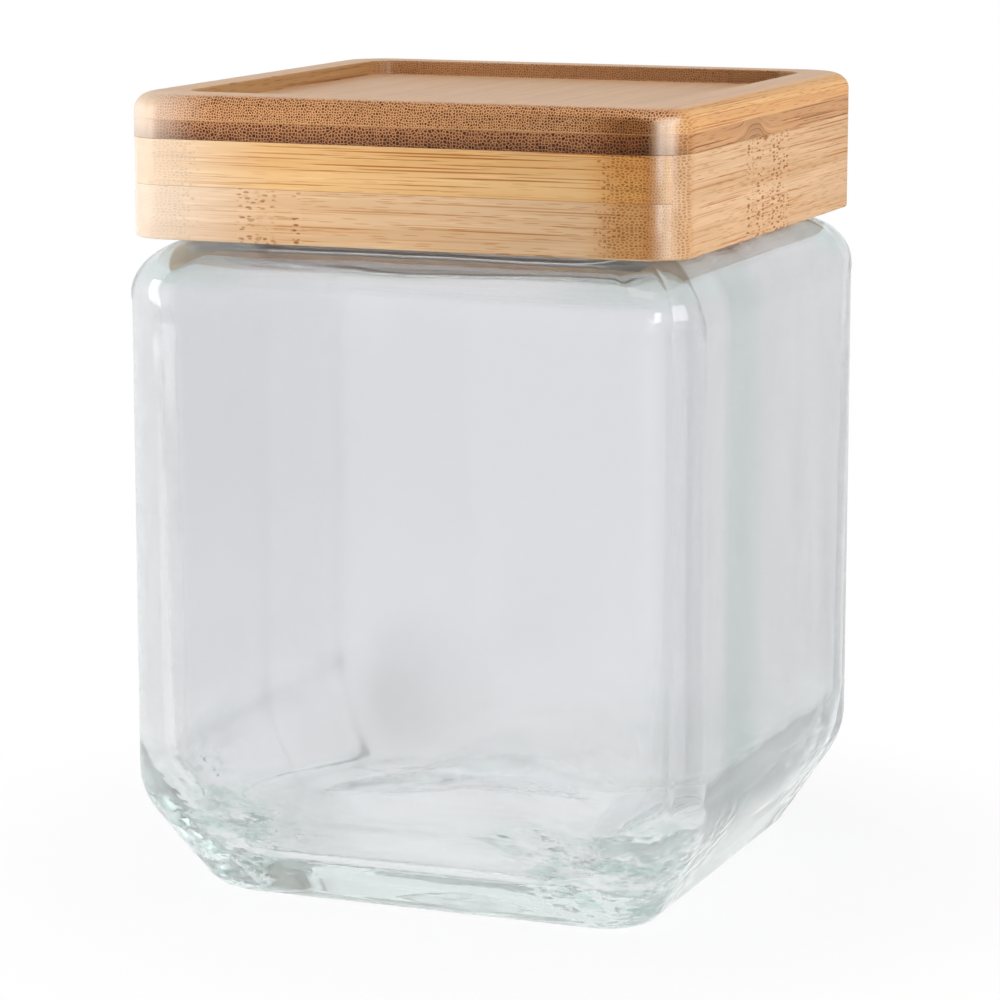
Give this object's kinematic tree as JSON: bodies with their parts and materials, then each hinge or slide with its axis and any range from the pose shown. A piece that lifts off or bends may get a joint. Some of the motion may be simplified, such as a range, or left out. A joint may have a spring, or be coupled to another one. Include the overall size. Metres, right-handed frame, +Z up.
{
  "type": "square glass canister with bamboo lid",
  "caption": "Square clear glass canister with rounded corners, a tapered foot and a bamboo lid that lifts off and is recessed on top so that canisters stack.",
  "frame": {"origin": "middle of the underside of the glass foot, on the surface that the canister stands on", "axes": "+Z up along the canister's centre line, -Y out of the front panel, +X to the right seen from the front; the lid's top boards have their grain along Y"},
  "size_m": [0.108, 0.108, 0.1468],
  "materials": {
    "clear_glass": "clear soda glass with a faint green tint in the thick edges",
    "bamboo_top": "laminated bamboo, caramel, lightly oiled, end grain at the front and back",
    "bamboo_rail": "natural bamboo, side grain, lightly oiled",
    "bamboo_plug": "natural bamboo, sanded",
    "silicone": "translucent white silicone, satin"
  },
  "bodies": {
    "jar": {"glass_jar": "clear_glass"},
    "lid": {"lid_upper_ply": "bamboo_top", "lid_lower_ply": "bamboo_top", "front_rail_upper_strip": "bamboo_rail", "front_rail_lower_strip": "bamboo_rail", "back_rail_upper_strip": "bamboo_rail", "back_rail_lower_strip": "bamboo_rail", "left_rail": "bamboo_rail", "right_rail": "bamboo_rail", "seal_plug": "bamboo_plug", "silicone_seal": "silicone"}
  },
  "joints": [
    {"name": "lid_lift", "type": "slide", "parent": "jar", "child": "lid", "axis": [0, 0, 1], "range_m": [0, 0.06]}
  ]
}
